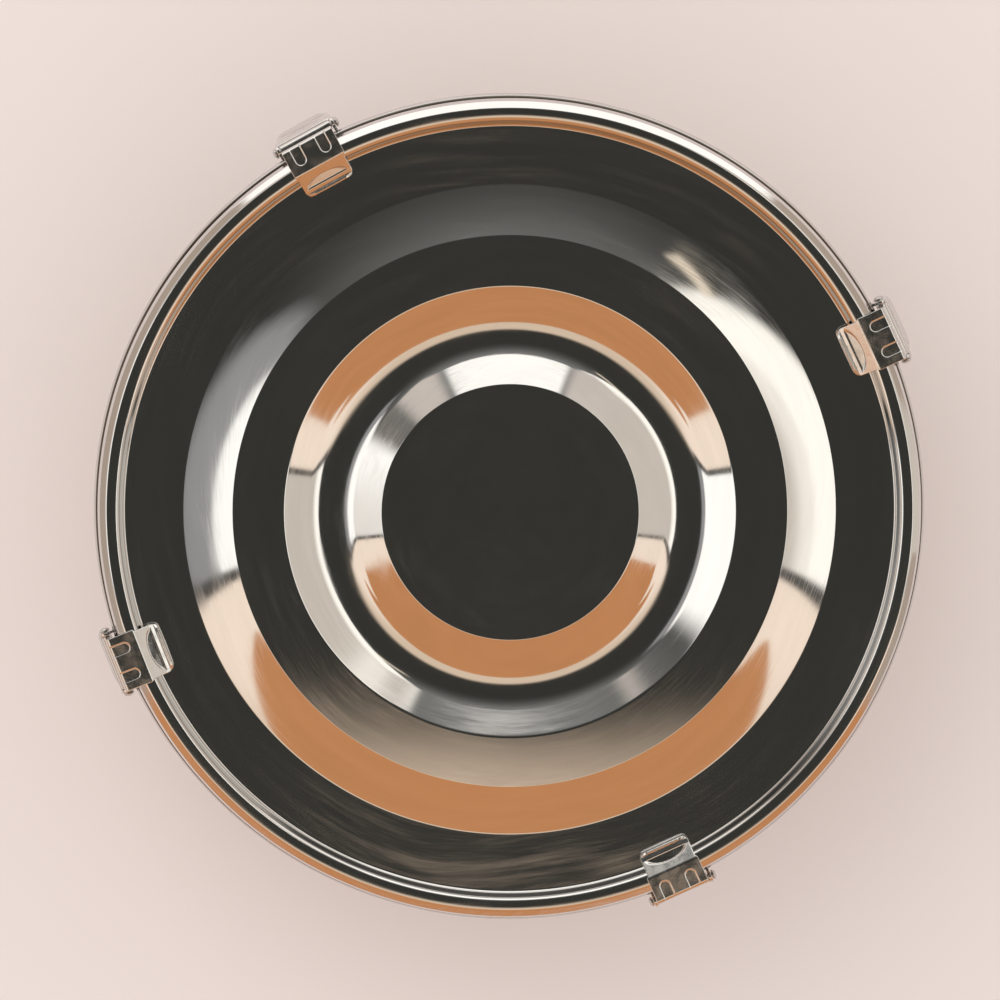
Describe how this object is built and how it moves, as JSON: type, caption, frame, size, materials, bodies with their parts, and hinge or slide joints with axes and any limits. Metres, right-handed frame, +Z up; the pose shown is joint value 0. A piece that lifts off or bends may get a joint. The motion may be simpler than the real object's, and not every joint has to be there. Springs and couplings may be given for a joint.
{
  "type": "food carrier",
  "caption": "Round stainless steel food carrier: deep bowl, stepped lid with a soft gasket, and hinged spring clips that hold the lid to the rolled rim.",
  "frame": {"origin": "on the axis of the bowl, at the plane of the flat ring it stands on", "axes": "+Z up through the lid, +X to the right and +Y to the top of the picture, in which the carrier stands on edge with its lid to the camera"},
  "size_m": [0.26, 0.26, 0.1055],
  "materials": {
    "bowl_steel": "satin, spun",
    "lid_steel": "bright, spun, with fine hairlines",
    "clip_steel": "polished",
    "pin_steel": "bright drawn wire",
    "gasket_silicone": "soft matte, milky"
  },
  "bodies": {
    "container": {"container_bowl": "bowl_steel"},
    "lid": {"lid_shell": "lid_steel", "lid_gasket": "gasket_silicone"},
    "clip_1_pin": {"clip_pin_1": "pin_steel"},
    "clip_1_hook": {"clip_hook_1": "clip_steel"},
    "clip_1_lever": {"clip_lever_1": "clip_steel"},
    "clip_2_pin": {"clip_pin_2": "pin_steel"},
    "clip_2_hook": {"clip_hook_2": "clip_steel"},
    "clip_2_lever": {"clip_lever_2": "clip_steel"},
    "clip_3_pin": {"clip_pin_3": "pin_steel"},
    "clip_3_hook": {"clip_hook_3": "clip_steel"},
    "clip_3_lever": {"clip_lever_3": "clip_steel"},
    "clip_4_pin": {"clip_pin_4": "pin_steel"},
    "clip_4_hook": {"clip_hook_4": "clip_steel"},
    "clip_4_lever": {"clip_lever_4": "clip_steel"}
  },
  "joints": [
    {"name": "lid_lift", "type": "slide", "parent": "container", "child": "lid", "axis": [0, 0, 1], "range_m": [0, 0.01]},
    {"name": "clip_1_slide_round_rim", "type": "hinge", "parent": "container", "child": "clip_1_pin", "pos_m": [0, 0, 0.0935], "axis": [0, 0, 1], "range_deg": [-5, 5]},
    {"name": "clip_1_hook_swing", "type": "hinge", "parent": "clip_1_pin", "child": "clip_1_hook", "pos_m": [0.11967, 0.05606, 0.0935], "axis": [-0.4242, 0.9056, 0], "range_deg": [0, 90]},
    {"name": "clip_1_lever_swing", "type": "hinge", "parent": "clip_1_pin", "child": "clip_1_lever", "pos_m": [0.11967, 0.05606, 0.0935], "axis": [0.4242, -0.9056, 0], "range_deg": [0, 50]},
    {"name": "clip_2_slide_round_rim", "type": "hinge", "parent": "container", "child": "clip_2_pin", "pos_m": [0, 0, 0.0935], "axis": [0, 0, 1], "range_deg": [-5, 5]},
    {"name": "clip_2_hook_swing", "type": "hinge", "parent": "clip_2_pin", "child": "clip_2_hook", "pos_m": [-0.06326, 0.11603, 0.0935], "axis": [-0.878, -0.4787, 0], "range_deg": [0, 90]},
    {"name": "clip_2_lever_swing", "type": "hinge", "parent": "clip_2_pin", "child": "clip_2_lever", "pos_m": [-0.06326, 0.11603, 0.0935], "axis": [0.878, 0.4787, 0], "range_deg": [0, 50]},
    {"name": "clip_3_slide_round_rim", "type": "hinge", "parent": "container", "child": "clip_3_pin", "pos_m": [0, 0, 0.0935], "axis": [0, 0, 1], "range_deg": [-5, 5]},
    {"name": "clip_3_hook_swing", "type": "hinge", "parent": "clip_3_pin", "child": "clip_3_hook", "pos_m": [-0.12312, -0.048, 0.0935], "axis": [0.3633, -0.9317, 0], "range_deg": [0, 90]},
    {"name": "clip_3_lever_swing", "type": "hinge", "parent": "clip_3_pin", "child": "clip_3_lever", "pos_m": [-0.12312, -0.048, 0.0935], "axis": [-0.3633, 0.9317, 0], "range_deg": [0, 50]},
    {"name": "clip_4_slide_round_rim", "type": "hinge", "parent": "container", "child": "clip_4_pin", "pos_m": [0, 0, 0.0935], "axis": [0, 0, 1], "range_deg": [-5, 5]},
    {"name": "clip_4_hook_swing", "type": "hinge", "parent": "clip_4_pin", "child": "clip_4_hook", "pos_m": [0.05459, -0.12035, 0.0935], "axis": [0.9107, 0.4131, 0], "range_deg": [0, 90]},
    {"name": "clip_4_lever_swing", "type": "hinge", "parent": "clip_4_pin", "child": "clip_4_lever", "pos_m": [0.05459, -0.12035, 0.0935], "axis": [-0.9107, -0.4131, 0], "range_deg": [0, 50]}
  ],
  "couplings": [
    {"joint": "clip_1_hook_swing", "follows": "lid_lift", "rad_per_m": 157},
    {"joint": "clip_2_hook_swing", "follows": "lid_lift", "rad_per_m": 157},
    {"joint": "clip_3_hook_swing", "follows": "lid_lift", "rad_per_m": 157},
    {"joint": "clip_4_hook_swing", "follows": "lid_lift", "rad_per_m": 157}
  ]
}
